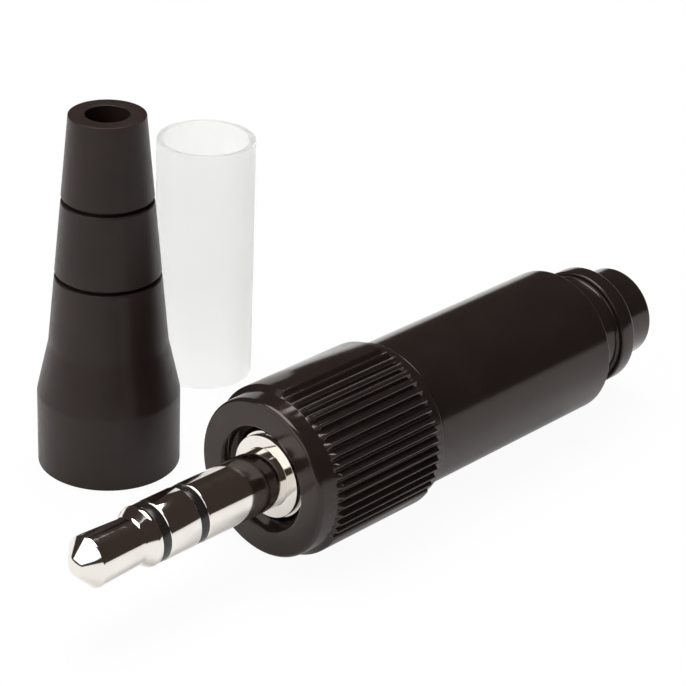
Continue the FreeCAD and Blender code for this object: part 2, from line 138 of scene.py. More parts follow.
def draw(corners, close=True):
    """Draw a chain of straight lines through corners given in millimetres, and stay in edit mode."""
    bpy.ops.mesh.primitive_plane_add(size=MM, location=Vector(corners[0]) * MM)
    piece = bpy.context.object
    bpy.ops.object.mode_set(mode="EDIT")
    bpy.ops.mesh.select_all(action="SELECT")
    bpy.ops.mesh.merge(type="CENTER")
    ends = corners[1:] + corners[:1] if close else corners[1:]
    for start, end in zip(corners, ends):
        step = (Vector(end) - Vector(start)) * MM
        bpy.ops.mesh.extrude_region_move(TRANSFORM_OT_translate={"value": step})
    bpy.ops.mesh.select_all(action="SELECT")
    bpy.ops.mesh.remove_doubles(threshold=MERGE_DISTANCE)
    return piece


def round_corner(piece, corner, size):
    """Round one corner of a drawn chain."""
    select_where(piece, "VERT", lambda place: (place - Vector(corner)).length < NEAR)
    bpy.ops.mesh.bevel(offset=size * MM, segments=CORNER_SEGMENTS, affect="VERTICES")


def spin_round(piece, centre, axis, steps=ROUND_STEPS):
    """Spin what was drawn once round an axis and close the shell."""
    bpy.ops.mesh.select_mode(type="VERT")
    bpy.ops.mesh.select_all(action="SELECT")
    bpy.ops.mesh.spin(steps=steps, angle=math.tau, center=Vector(centre) * MM, axis=axis)
    bpy.ops.mesh.select_all(action="SELECT")
    bpy.ops.mesh.remove_doubles(threshold=MERGE_DISTANCE)
    bpy.ops.mesh.normals_make_consistent(inside=False)


def settle(piece, name):
    """Leave edit mode, name the piece and put its place in its mesh."""
    bpy.ops.object.mode_set(mode="OBJECT")
    piece.name = name
    piece.data.name = name
    bpy.ops.object.select_all(action="DESELECT")
    piece.select_set(True)
    bpy.context.view_layer.objects.active = piece
    bpy.ops.object.transform_apply(location=True, rotation=True, scale=True)


def soften(piece, width, segments=3, weight=NEUTRAL_WEIGHT):
    """Break the sharp edges by a small bevel and weight the shading by the size of the faces."""
    bpy.context.view_layer.objects.active = piece
    bpy.ops.object.modifier_add(type="BEVEL")
    bevel = piece.modifiers[-1]
    bevel.width = width * MM
    bevel.segments = segments
    bevel.limit_method = "ANGLE"
    bevel.angle_limit = SHARP_ANGLE
    bpy.ops.object.modifier_apply(modifier=bevel.name)
    bpy.ops.object.shade_smooth()
    bpy.ops.object.modifier_add(type="WEIGHTED_NORMAL")
    shading = piece.modifiers[-1]
    shading.weight = weight
    bpy.ops.object.modifier_apply(modifier=shading.name)


def turn_along(name, outline, rounded=(), close=True, steps=ROUND_STEPS):
    """Turn an outline of (place along X, radius) corners about the plug's axis.

    Each pair in rounded is the number of a corner and the size of its rounding.
    """
    corners = [(along, 0, radius) for along, radius in outline]
    piece = draw(corners, close)
    for number, size in rounded:
        round_corner(piece, corners[number], size)
    spin_round(piece, (0, 0, 0), (1, 0, 0), steps)
    settle(piece, name)
    print("turned", name, "with", len(piece.data.polygons), "faces")
    return piece


def turn_upright(name, node, outline, rounded=()):
    """Turn an outline of (radius, height above the floor) corners about the middle of a solid.

    Each pair in rounded is the number of a corner and the size of its rounding.
    """
    middle = (low(node) + high(node)) / 2
    corners = [(middle.x + radius, middle.y, FLOOR + height) for radius, height in outline]
    piece = draw(corners)
    for number, size in rounded:
        round_corner(piece, corners[number], size)
    spin_round(piece, (middle.x, middle.y, 0), (0, 0, 1))
    settle(piece, name)
    print("turned", name, "with", len(piece.data.polygons), "faces")
    return piece


# %% [markdown]
# The shaft is a stack of coaxial contacts. The tip has a blunt cone, a sharp arris, a neck that
# narrows towards the rear, and a flare that catches the socket's spring. Behind it runs the rod
# that carries it to its solder lug, with a riveted end. Tip and rod could be two pieces joined
# later, but one outline makes them one piece of metal with no seam. It starts and ends on the
# axis, so the spin closes it at both poles.

# %% Turn the tip
SHAFT_RADIUS = 1.75
NOSE_RADIUS = 0.42
ARRIS_RADIUS = 1.5
NECK_RADIUS = 1.36
CONE_LENGTH = 0.98
FLARE_LENGTH = 0.59
LAND_LENGTH = 0.25
ROD_RADIUS = 0.45
RIVET_RIM = 0.35
RIVET_HEIGHT = 0.2
SHAFT_EDGE = 0.03
TIP_ROUNDINGS = [(1, 0.26), (2, 0.06), (3, 0.1), (4, 0.08)]

nose = low("tip_contact").x
tip_rear = low("tip_insulator").x
rod_rear = high("tip_contact").x
flare_front = tip_rear - LAND_LENGTH - FLARE_LENGTH
tip_outline = [
    (nose, 0),
    (nose, NOSE_RADIUS),
    (nose + CONE_LENGTH, ARRIS_RADIUS),
    (flare_front, NECK_RADIUS),
    (flare_front + FLARE_LENGTH, SHAFT_RADIUS),
    (tip_rear, SHAFT_RADIUS),
    (tip_rear, ROD_RADIUS),
    (rod_rear - RIVET_HEIGHT, ROD_RADIUS),
    (rod_rear - RIVET_HEIGHT, ROD_RADIUS + RIVET_RIM),
    (rod_rear, ROD_RADIUS + RIVET_RIM),
    (rod_rear, 0),
]
tip = turn_along("tip", tip_outline, TIP_ROUNDINGS, close=False)
soften(tip, SHAFT_EDGE, weight=SMOOTH_METAL_WEIGHT)

# %% [markdown]
# Each spacer is a black plastic collar on a long insulating tube. The collar sits a hair below
# the metal, which is what makes the rings of the shaft read as separate pieces. A black stripe in
# the metal's material would be quicker, but it would have no edge to catch the light. Both
# spacers have the same outline with other sizes, so a loop turns them.

# %% Turn the two spacers
SPACER_LENGTH = 0.59
SPACER_RECESS = 0.03
SPACER_RADIUS = SHAFT_RADIUS - SPACER_RECESS
SPACER_EDGE = 0.02
SPACER_TUBES = {"tip_insulator": (0.47, 0.72), "ring_insulator": (1.01, 1.31)}

spacers = []
for node, (bore, outside) in SPACER_TUBES.items():
    front = low(node).x
    rear = high(node).x
    spacer = turn_along(node.replace("insulator", "spacer"), [
        (front, bore),
        (front, SPACER_RADIUS),
        (front + SPACER_LENGTH, SPACER_RADIUS),
        (front + SPACER_LENGTH, outside),
        (rear, outside),
        (rear, bore),
    ])
    soften(spacer, SPACER_EDGE)
    spacers.append(spacer)

# %% [markdown]
# The ring and the sleeve are nickel plated like the tip. Both have a chamfer at the front that
# shows as a bright line. The sleeve ends in a flat polished flange, which is the bright disc in
# the nut's mouth. The chamfers are corners of the outline and not bevels, because only the front
# edge of each contact has one.

# %% Turn the ring and the sleeve
RING_BORE = 0.74
RING_TUBE = 0.99
SLEEVE_BORE = 1.33
SLEEVE_TUBE = 1.58
CONTACT_CHAMFER = 0.07
FLANGE_RADIUS = 2.47
SLEEVE_EDGE = 0.04

ring_front = low("ring_contact").x
ring_rear = high("ring_contact").x
ring_end = low("ring_insulator").x
ring = turn_along("ring", [
    (ring_front, RING_BORE),
    (ring_front, SHAFT_RADIUS - CONTACT_CHAMFER),
    (ring_front + CONTACT_CHAMFER, SHAFT_RADIUS),
    (ring_end, SHAFT_RADIUS),
    (ring_end, RING_TUBE),
    (ring_rear - RIVET_HEIGHT, RING_TUBE),
    (ring_rear - RIVET_HEIGHT, RING_TUBE + RIVET_RIM),
    (ring_rear, RING_TUBE + RIVET_RIM),
    (ring_rear, RING_BORE),
])
soften(ring, SHAFT_EDGE, weight=SMOOTH_METAL_WEIGHT)

sleeve_front = low("sleeve_contact").x
sleeve_rear = high("sleeve_contact").x
flange_front = 0
flange_rear = low("threaded_body").x
sleeve = turn_along("sleeve", [
    (sleeve_front, SLEEVE_BORE),
    (sleeve_front, SHAFT_RADIUS - CONTACT_CHAMFER),
    (sleeve_front + CONTACT_CHAMFER, SHAFT_RADIUS),
    (flange_front, SHAFT_RADIUS),
    (flange_front, FLANGE_RADIUS),
    (flange_rear, FLANGE_RADIUS),
    (flange_rear, SLEEVE_TUBE),
    (sleeve_rear - RIVET_HEIGHT, SLEEVE_TUBE),
    (sleeve_rear - RIVET_HEIGHT, SLEEVE_TUBE + RIVET_RIM),
    (sleeve_rear, SLEEVE_TUBE + RIVET_RIM),
    (sleeve_rear, SLEEVE_BORE),
])
soften(sleeve, SLEEVE_EDGE, weight=SMOOTH_METAL_WEIGHT)

# %% [markdown]
# Three pieces have threads. A thread is a blunt triangle swept along a helix. A stack of rings
# would look much the same, but it would have no start and no lead. So the triangle is drawn once
# and the Screw modifier winds it round the axis. Its base is sunk a little into the turned piece,
# and its two ends are left open.

# %% Helper that winds a thread
THREAD_SINK = 0.03
THREAD_STEPS = 96
THREAD_CREST_SHARE = 1 / 8
THREAD_BASE_SHARE = 0.98
THREAD_SMOOTH_ANGLE = math.radians(25)


def wind_thread(name, front, rear, crest, root, pitch):
    """Wind a ridge from its root radius to its crest radius between two places on the axis."""
    outward = 1 if crest > root else -1
    base = root - outward * THREAD_SINK
    half_crest = pitch * THREAD_CREST_SHARE / 2
    piece = draw([
        (front, 0, base),
        (front + pitch / 2 - half_crest, 0, crest),
        (front + pitch / 2 + half_crest, 0, crest),
        (front + pitch * THREAD_BASE_SHARE, 0, base),
    ])
    bpy.ops.mesh.edge_face_add()
    settle(piece, name)
    turns = (rear - front) / pitch - 1
    bpy.ops.object.modifier_add(type="SCREW")
    screw = piece.modifiers[-1]
    screw.axis = "X"
    screw.angle = math.tau * turns
    screw.screw_offset = pitch * turns * MM
    screw.steps = round(THREAD_STEPS * turns)
    screw.render_steps = screw.steps
    bpy.ops.object.modifier_apply(modifier=screw.name)
    bpy.ops.object.mode_set(mode="EDIT")
    bpy.ops.mesh.select_all(action="SELECT")
    bpy.ops.mesh.remove_doubles(threshold=MERGE_DISTANCE)
    bpy.ops.mesh.normals_make_consistent(inside=False)
    settle(piece, name)
    bpy.ops.object.shade_smooth_by_angle(angle=THREAD_SMOOTH_ANGLE)
    print("wound", name, "with", round(turns, 1), "turns")
    return piece


# %% [markdown]
# The threaded body is what the nut runs on. Its nose is the second bright ring behind the
# flange, the split ring rides on its shank, and the barrel screws on its rear. It is turned down
# to the root of its thread, and the thread is wound on it as a piece of its own, since a helix
# can't be spun.

# %% Turn the threaded body and wind its thread
BODY_BORE = 1.6
BODY_NOSE_RADIUS = 2.62
BODY_NOSE_LENGTH = 0.5
SHANK_RADIUS = 2.35
SEAT_RADIUS = 3.95
SEAT_THICKNESS = 0.2
BODY_THREAD_CREST = 3.45
BODY_THREAD_ROOT = 3.15
LEAD_IN = 0.3
BODY_THREAD_SETBACK = 0.2
BARREL_PITCH = 0.5
BODY_EDGE = 0.05

body_rear = high("threaded_body").x
barrel_front = low("barrel").x
seat_front = barrel_front - SEAT_THICKNESS
body = turn_along("threaded_body_turned", [
    (flange_rear, BODY_BORE),
    (flange_rear, BODY_NOSE_RADIUS),
    (flange_rear + BODY_NOSE_LENGTH, BODY_NOSE_RADIUS),
    (flange_rear + BODY_NOSE_LENGTH, SHANK_RADIUS),
    (seat_front, SHANK_RADIUS),
    (seat_front, SEAT_RADIUS),
    (barrel_front, SEAT_RADIUS),
    (barrel_front, BODY_THREAD_ROOT),
    (body_rear - LEAD_IN, BODY_THREAD_ROOT),
    (body_rear, BODY_THREAD_ROOT - LEAD_IN),
    (body_rear, BODY_BORE),
])
soften(body, BODY_EDGE, weight=SMOOTH_METAL_WEIGHT)
body_thread = wind_thread(
    "threaded_body_thread", barrel_front + BODY_THREAD_SETBACK, body_rear,
    BODY_THREAD_CREST, BODY_THREAD_ROOT, BARREL_PITCH,
)

# %% [markdown]
# The locking nut has a smooth band behind its face, then straight knurling that stands a little
# proud, then a narrow smooth collar. In front each ridge of the knurling ends at a slope, which
# is the row of small bright triangles. Inside are the mouth, the lock thread and the groove of
# the split ring. All this is one outline. It is spun in as many steps as the knurling needs, with
# twelve to each groove.

# %% Turn the nut
NUT_FACE_RADIUS = 4.6
NUT_RIM_RADIUS = 4.76
NUT_RIM_LENGTH = 0.16
NUT_STEP_RADIUS = 4.79
NUT_STEP_LENGTH = 1.25
NUT_SLOPE_LENGTH = 0.3
NUT_RADIUS = 5.12
NUT_COLLAR_RADIUS = 4.86
NUT_EDGE = 0.025
NUT_EDGE_SEGMENTS = 2
NUT_ROUNDINGS = [(0, 0.12), (1, 0.05), (2, 0.12), (7, 0.1)]
KNURL_END = 9.36
KNURL_SLOPE = 0.08
GROOVE_STEPS = 12
GROOVES_PER_TURN = 51
MOUTH_RADIUS = 3.15
MOUTH_DEPTH = 0.35
LOCK_CREST = 2.8
LOCK_ROOT = 3.08
LOCK_PITCH = 0.75
LOCK_LENGTH = 5.2
LOCK_LEAD = 0.4 * LOCK_PITCH
RING_GROOVE_RADIUS = 3.35
RUNNING_FIT = 0.05

nut_front = low("locking_nut").x
nut_rear = high("locking_nut").x
knurl_front = nut_front + NUT_STEP_LENGTH + NUT_SLOPE_LENGTH
knurl_rear = nut_front + KNURL_END
lock_front = nut_front + MOUTH_DEPTH
lock_rear = lock_front + LOCK_LENGTH
groove_front = low("nut_retaining_ring").x - RUNNING_FIT
groove_rear = high("nut_retaining_ring").x + RUNNING_FIT
nut_outline = [
    (nut_front, MOUTH_RADIUS),
    (nut_front, NUT_FACE_RADIUS),
    (nut_front + NUT_RIM_LENGTH, NUT_RIM_RADIUS),
    (nut_front + NUT_STEP_LENGTH, NUT_STEP_RADIUS),
    (knurl_front, NUT_RADIUS),
    (knurl_rear, NUT_RADIUS),
    (knurl_rear + KNURL_SLOPE, NUT_COLLAR_RADIUS),
    (nut_rear, NUT_COLLAR_RADIUS),
    (nut_rear, LOCK_CREST),
    (groove_rear, LOCK_CREST),
    (groove_rear, RING_GROOVE_RADIUS),
    (groove_front, RING_GROOVE_RADIUS),
    (groove_front, LOCK_CREST),
    (lock_rear, LOCK_CREST),
    (lock_rear, LOCK_ROOT),
    (lock_front, LOCK_ROOT),
]
nut = turn_along("nut", nut_outline, NUT_ROUNDINGS, steps=GROOVE_STEPS * GROOVES_PER_TURN)

# %% [markdown]
# The knurling is cut in two panels of seventeen grooves, with a smooth strip between them. Each
# groove could be cut out with a Boolean, but that can leave slivers. Here every line of points
# along a groove is moved inwards by the depth of a wave at that line, so the mesh stays made of
# even quads. The wave gives each rounded ridge two thin lights, as the photograph has them. Last,
# the nut is turned by a degree, so that its grooves stand where the photograph shows them.

# %% Cut the knurling
KNURL_DEPTH = 0.3
KNURL_TURN = 1
GROOVES = 17
PANELS = 2


def in_line(step):
    """Make a test for points on the lines that lie a number of steps inside each groove."""
    def test(place):
        along = knurl_front - NEAR < place.x < knurl_rear + NEAR
        outside = math.hypot(place.y, place.z) > NUT_RADIUS - NEAR
        angle = math.degrees(math.atan2(-place.y, place.z)) % (360 / PANELS)
        number = round(angle / 360 * GROOVES_PER_TURN * GROOVE_STEPS)
        in_panel = number <= GROOVES * GROOVE_STEPS
        return along and outside and in_panel and number % GROOVE_STEPS == step
    return test


bpy.ops.object.mode_set(mode="EDIT")
for step in range(1, GROOVE_STEPS):
    depth = KNURL_DEPTH * (1 - math.cos(math.tau * step / GROOVE_STEPS)) / 2
    shrink = (NUT_RADIUS - depth) / NUT_RADIUS
    select_where(nut, "VERT", in_line(step))
    bpy.ops.transform.resize(value=(1, shrink, shrink), center_override=(0, 0, 0))
bpy.ops.mesh.select_all(action="SELECT")
bpy.ops.mesh.normals_make_consistent(inside=False)
bpy.ops.transform.rotate(
    value=-math.radians(KNURL_TURN), orient_axis="X", orient_type="GLOBAL", center_override=(0, 0, 0)
)
settle(nut, "nut")
soften(nut, NUT_EDGE, NUT_EDGE_SEGMENTS)
print("nut has", len(nut.data.polygons), "faces")

lock_thread = wind_thread(
    "nut_lock_thread", lock_front - LOCK_LEAD, lock_rear, LOCK_CREST, LOCK_ROOT, LOCK_PITCH
)

# %% [markdown]
# The barrel is one long cylinder. Behind it come a groove, a collar that runs into a round stub,
# and the hole for the cable. The boot's lip snaps into the groove. The cavity inside covers the
# solder lugs. One bevel could round all edges alike, but the far end has soft and crisp corners,
# so six of them are given a rounding of their own before the spin.

# %% Turn the barrel and wind its thread
BARREL_RADIUS = 4.56
BARREL_LENGTH = 15.35
SNAP_RADIUS = 3.35
SNAP_WIDTH = 2.35
COLLAR_RADIUS = 3.75
COLLAR_LENGTH = 1.25
STUB_RADIUS = 2.87
CABLE_RADIUS = 1.65
CAVITY_RADIUS = 3.5
CAVITY_LENGTH = 14.2
BARREL_THREAD_ROOT = 3.72
BARREL_THREAD_LENGTH = 4.2
BARREL_THREAD_SETBACK = 0.1
BARREL_EDGE = 0.07
BARREL_ROUNDINGS = [(2, 0.1), (4, 0.2), (5, 0.14), (6, 0.22), (7, 0.5), (8, 0.16)]

barrel_end = barrel_front + BARREL_LENGTH
collar_front = barrel_end + SNAP_WIDTH
collar_rear = collar_front + COLLAR_LENGTH
stub_rear = high("barrel").x
cavity_rear = barrel_front + CAVITY_LENGTH
thread_rear = barrel_front + BARREL_THREAD_LENGTH
barrel = turn_along("barrel_turned", [
    (barrel_front, BARREL_THREAD_ROOT),
    (barrel_front, BARREL_RADIUS),
    (barrel_end, BARREL_RADIUS),
    (barrel_end, SNAP_RADIUS),
    (collar_front, SNAP_RADIUS),
    (collar_front, COLLAR_RADIUS),
    (collar_rear, COLLAR_RADIUS),
    (collar_rear, STUB_RADIUS),
    (stub_rear, STUB_RADIUS),
    (stub_rear, CABLE_RADIUS),
    (cavity_rear, CABLE_RADIUS),
    (cavity_rear, CAVITY_RADIUS),
    (thread_rear, CAVITY_RADIUS),
    (thread_rear, BARREL_THREAD_ROOT),
], BARREL_ROUNDINGS)
soften(barrel, BARREL_EDGE, weight=SMOOTH_METAL_WEIGHT)
barrel_thread = wind_thread(
    "barrel_thread", barrel_front + BARREL_THREAD_SETBACK, thread_rear,
    CAVITY_RADIUS, BARREL_THREAD_ROOT, BARREL_PITCH,
)

# %% [markdown]
# The boot is moulded, not turned, but it is round as well, so it can be turned here, upright.
# Its skirt is a short cylinder, then it narrows to a long cone with two thin slots that let it
# bend. The lower edge of each slot has a small chamfer for the light to catch. Inside are a lip
# for the barrel's groove and the sockets for its collar and stub.

# %% Turn the boot
BOOT_SKIRT_RADIUS = 4.28
BOOT_SKIRT_HEIGHT = 4.7
BOOT_NECK_RADIUS = 3.57
BOOT_NECK_HEIGHT = 7.9
BOOT_TOP_RADIUS = 2.26
BOOT_HOLE_RADIUS = 1.29
BOOT_SLOTS = (12.4, 17.15)
BOOT_SLOT_WIDTH = 0.26
BOOT_SLOT_DEPTH = 0.4
BOOT_SLOT_CHAMFER = 0.07
BOOT_FIT = 0.04
BOOT_EDGE = 0.05
BOOT_ROUNDINGS = [(2, 0.12), (3, 0.15)]

boot_height = high("bend_relief_boot").z - FLOOR


def boot_wall(height):
    """Radius of the boot's cone at a height."""
    share = (height - BOOT_NECK_HEIGHT) / (boot_height - BOOT_NECK_HEIGHT)
    return BOOT_NECK_RADIUS + (BOOT_TOP_RADIUS - BOOT_NECK_RADIUS) * share


boot_outline = [
    (SNAP_RADIUS + BOOT_FIT, 0),
    (BOOT_SKIRT_RADIUS, 0),
    (BOOT_SKIRT_RADIUS, BOOT_SKIRT_HEIGHT),
    (BOOT_NECK_RADIUS, BOOT_NECK_HEIGHT),
]
for slot in BOOT_SLOTS:
    lower = slot - BOOT_SLOT_WIDTH / 2
    upper = slot + BOOT_SLOT_WIDTH / 2
    floor_of_slot = boot_wall(slot) - BOOT_SLOT_DEPTH
    boot_outline += [
        (boot_wall(lower), lower - BOOT_SLOT_CHAMFER),
        (boot_wall(lower) - BOOT_SLOT_CHAMFER, lower),
        (floor_of_slot, lower),
        (floor_of_slot, upper),
        (boot_wall(upper), upper),
    ]
lip = SNAP_WIDTH - BOOT_FIT
collar_socket = SNAP_WIDTH + COLLAR_LENGTH + BOOT_FIT
stub_socket = collar_socket + (stub_rear - collar_rear)
boot_outline += [
    (BOOT_TOP_RADIUS, boot_height),
    (BOOT_HOLE_RADIUS, boot_height),
    (BOOT_HOLE_RADIUS, stub_socket),
    (STUB_RADIUS + BOOT_FIT, stub_socket),
    (STUB_RADIUS + BOOT_FIT, collar_socket),
    (COLLAR_RADIUS + BOOT_FIT, collar_socket),
    (COLLAR_RADIUS + BOOT_FIT, lip),
    (SNAP_RADIUS + BOOT_FIT, lip),
]
boot = turn_upright("boot", "bend_relief_boot", boot_outline, BOOT_ROUNDINGS)
soften(boot, BOOT_EDGE)

# %% [markdown]
# The insulating tube is cut square from a longer one. A cylinder with a Solidify modifier would
# give the same wall, but a thin upright rectangle suits the helper that is already there.
# The bevel gives the cut ends the soft rim that the light catches.

# %% Turn the insulating tube
TUBE_WALL = 0.38
TUBE_EDGE = 0.06

tube_radius = (high("insulating_tube").x - low("insulating_tube").x) / 2
tube_height = high("insulating_tube").z - FLOOR
tube = turn_upright("tube", "insulating_tube", [
    (tube_radius - TUBE_WALL, 0),
    (tube_radius, 0),
    (tube_radius, tube_height),
    (tube_radius - TUBE_WALL, tube_height),
])
soften(tube, TUBE_EDGE)

# %% [markdown]
# Each new piece takes the place of its solid and rides on the same body, so it moves with the
# same joint. The solids of the lugs, washers and split ring are plain bent and punched parts that
# need no finer shape. They stay and only get better materials.

# %% Put the pieces on their bodies
PIECES = [
    (tip, "contact_stack", "nickel_plate", "tip_contact"),
    (spacers[0], "contact_stack", "black_spacer", "tip_insulator"),
    (ring, "contact_stack", "nickel_plate", "ring_contact"),
    (spacers[1], "contact_stack", "black_spacer", "ring_insulator"),
    (sleeve, "contact_stack", "nickel_plate", "sleeve_contact"),
    (body, "contact_stack", "nickel_plate", "threaded_body"),
    (body_thread, "contact_stack", "nickel_plate", "threaded_body"),
    (nut, "nut", "black_plate", "locking_nut"),
    (lock_thread, "nut", "black_plate", "locking_nut"),
    (barrel, "barrel", "black_plate", "barrel"),
    (barrel_thread, "barrel", "black_plate", "barrel"),
    (boot, "contact_stack", "boot_rubber", "bend_relief_boot"),
    (tube, "contact_stack", "clear_tube", "insulating_tube"),
]
for piece, carrier, slot, node in PIECES:
    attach(piece, carrier)
    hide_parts(node)
print("pieces made:", len(PIECES))

# %% [markdown]
# The finishes are built from nodes. Pictures of metal or rubber could be wrapped round the
# pieces, but noise patterns have no seams and no fixed size. A few helpers add and link the
# nodes, so each finish below is only a few lines. All patterns read Object coordinates, scaled to
# millimetres, so they have the same grain on every piece.

# %% Helpers for materials
NOISE_DETAIL = 3.0
RAMP_START = 0.3
RAMP_END = 0.7


def new_finish(name):
    """Start a material and give back its node tree, its shader and its coordinates in millimetres."""
    material = bpy.data.materials.new(name)
    material.use_nodes = True
    tree = material.node_tree
    shader = tree.nodes["Principled BSDF"]
    coordinates = tree.nodes.new("ShaderNodeTexCoord")
    scale = tree.nodes.new("ShaderNodeMapping")
    scale.inputs["Scale"].default_value = (1 / MM, 1 / MM, 1 / MM)
    tree.links.new(coordinates.outputs["Object"], scale.inputs["Vector"])
    return material, tree, shader, scale.outputs["Vector"]


def add_noise(tree, place, scale):
    """Add a noise pattern with a scale in cells per millimetre."""
    noise = tree.nodes.new("ShaderNodeTexNoise")
    noise.inputs["Scale"].default_value = scale
    noise.inputs["Detail"].default_value = NOISE_DETAIL
    tree.links.new(place, noise.inputs["Vector"])
    return noise.outputs["Fac"]


def vary(tree, shader, place, socket, scale, levels):
    """Let a socket of the shader wander between two colours or grey levels, by a noise pattern."""
    ramp = tree.nodes.new("ShaderNodeValToRGB")
    stops = ramp.color_ramp.elements
    for stop, position, level in zip(stops, (RAMP_START, RAMP_END), levels):
        stop.position = position
        stop.color = level
    tree.links.new(add_noise(tree, place, scale), ramp.inputs["Fac"])
    tree.links.new(ramp.outputs["Color"], shader.inputs[socket])
    return ramp.outputs["Color"]


def add_bump(tree, shader, place, scale, height):
    """Give a shader noisy relief of a height in millimetres."""
    bump = tree.nodes.new("ShaderNodeBump")
    bump.inputs["Distance"].default_value = height * MM
    bump.inputs["Strength"].default_value = 1.0
    tree.links.new(add_noise(tree, place, scale), bump.inputs["Height"])
    tree.links.new(bump.outputs["Normal"], shader.inputs["Normal"])


def grey(level):
    """A grey colour."""
    return (level, level, level, 1)


# %% [markdown]
# Bright nickel is a mirror with a faint warm tint. One colour and one roughness would make it
# look flawless, so both vary a little, as handling leaves them, and very fine relief keeps the
# reflections from being perfect.

# %% Finish: nickel plate
NICKEL_COLOURS = [(0.80, 0.765, 0.71, 1), (0.86, 0.83, 0.775, 1)]
NICKEL_ROUGHNESS = [grey(0.06), grey(0.10)]


def make_nickel():
    """Bright plate of the shaft, the flange and the threaded body."""
    material, tree, shader, place = new_finish("nickel")
    shader.inputs["Metallic"].default_value = 1.0
    vary(tree, shader, place, "Base Color", scale=0.7, levels=NICKEL_COLOURS)
    vary(tree, shader, place, "Roughness", scale=2.5, levels=NICKEL_ROUGHNESS)
    add_bump(tree, shader, place, scale=1.5, height=0.0004)
    return material


nickel = make_nickel()
print("finish made:", nickel.name)

# %% [markdown]
# The nut and barrel are brass under a dark plate. It is satin and very dark brown, so its colour
# comes mostly from what it reflects. It could be all metal or all paint. It is set about halfway,
# so that it mirrors the lamps like metal and keeps a dark colour of its own like paint.

# %% Finish: black plate
BLACK_PLATE_COLOURS = [(0.036, 0.025, 0.022, 1), (0.043, 0.031, 0.027, 1)]
BLACK_PLATE_ROUGHNESS = [grey(0.12), grey(0.16)]


def make_black_plate():
    """Satin dark plate of the nut and the barrel."""
    material, tree, shader, place = new_finish("black_plate")
    shader.inputs["Metallic"].default_value = 0.55
    shader.inputs["IOR"].default_value = 1.5
    vary(tree, shader, place, "Base Color", scale=0.5, levels=BLACK_PLATE_COLOURS)
    vary(tree, shader, place, "Roughness", scale=3.0, levels=BLACK_PLATE_ROUGHNESS)
    return material


black_plate = make_black_plate()
print("finish made:", black_plate.name)

# %% [markdown]
# The boot is moulded in dark rubber, softer in its gloss than the plate. The spacers and washers
# are shiny black plastic. The tube is milky: part of the light goes through it and part is
# scattered inside it. A volume could scatter the light truly, but it is slow to render, so a
# rough clear wall with a very faint glow of its own stands in for it.

# %% Finishes: rubber, black plastic and milky plastic
RUBBER_COLOURS = [(0.021, 0.0125, 0.0105, 1), (0.027, 0.0165, 0.0138, 1)]
RUBBER_ROUGHNESS = [grey(0.33), grey(0.41)]
PLASTIC_COLOURS = [(0.012, 0.010, 0.010, 1), (0.020, 0.017, 0.016, 1)]
PLASTIC_ROUGHNESS = [grey(0.18), grey(0.26)]
MILKY_COLOURS = [(0.93, 0.935, 0.92, 1), (0.96, 0.96, 0.95, 1)]
MILKY_ROUGHNESS = [grey(0.42), grey(0.50)]
MILKY_GLOW = 0.035


def make_rubber():
    """Moulded dark rubber of the boot."""
    material, tree, shader, place = new_finish("boot_rubber")
    shader.inputs["Specular IOR Level"].default_value = 0.25
    vary(tree, shader, place, "Base Color", scale=0.4, levels=RUBBER_COLOURS)
    vary(tree, shader, place, "Roughness", scale=2.0, levels=RUBBER_ROUGHNESS)
    add_bump(tree, shader, place, scale=3.0, height=0.002)
    return material


def make_black_plastic():
    """Shiny black plastic of the spacers and washers."""
    material, tree, shader, place = new_finish("black_plastic")
    vary(tree, shader, place, "Base Color", scale=1.0, levels=PLASTIC_COLOURS)
    vary(tree, shader, place, "Roughness", scale=3.0, levels=PLASTIC_ROUGHNESS)
    add_bump(tree, shader, place, scale=12.0, height=0.0008)
    return material


def make_milky():
    """Milky plastic of the insulating tube."""
    material, tree, shader, place = new_finish("milky_plastic")
    shader.inputs["Transmission Weight"].default_value = 0.9
    shader.inputs["IOR"].default_value = 1.35
    shader.inputs["Emission Strength"].default_value = MILKY_GLOW
    colour = vary(tree, shader, place, "Base Color", scale=0.25, levels=MILKY_COLOURS)
    tree.links.new(colour, shader.inputs["Emission Color"])
    vary(tree, shader, place, "Roughness", scale=1.5, levels=MILKY_ROUGHNESS)
    return material


rubber = make_rubber()
black_plastic = make_black_plastic()
milky = make_milky()
print("finishes made:", rubber.name, black_plastic.name, milky.name)

# %% [markdown]
# The lugs are tinned, which is duller and greyer than nickel, and the split ring is plain spring
# wire. Both are dull metals with other colours, so one function makes both.

# %% Finishes: tin and spring steel
TIN_COLOURS = [(0.60, 0.59, 0.56, 1), (0.70, 0.69, 0.66, 1)]
TIN_ROUGHNESS = [grey(0.28), grey(0.40)]
STEEL_COLOURS = [grey(0.42), grey(0.50)]
STEEL_ROUGHNESS = [grey(0.25), grey(0.37)]


def make_dull_metal(name, colours, roughness):
    """Dull metal of the pieces held inside."""
    material, tree, shader, place = new_finish(name)
    shader.inputs["Metallic"].default_value = 1.0
    vary(tree, shader, place, "Base Color", scale=1.2, levels=colours)
    vary(tree, shader, place, "Roughness", scale=4.0, levels=roughness)
    add_bump(tree, shader, place, scale=8.0, height=0.002)
    return material


tin = make_dull_metal("tinned_brass", TIN_COLOURS, TIN_ROUGHNESS)
spring_steel = make_dull_metal("spring_steel", STEEL_COLOURS, STEEL_ROUGHNESS)
print("finishes made:", tin.name, spring_steel.name)

# %% [markdown]
# Each finish is given to the pieces that have it on the real plug. The solids that stay keep
# their mesh, so only the material in each of their slots is changed.

# %% Dress the pieces and the solids that stay
DRESS = {
    nickel: [tip, ring, sleeve, body, body_thread],
    black_plastic: spacers,
    black_plate: [nut, lock_thread, barrel, barrel_thread],
    rubber: [boot],
    milky: [tube],
}
for finish, pieces in DRESS.items():
    for piece in pieces:
        piece.data.materials.clear()
        piece.data.materials.append(finish)

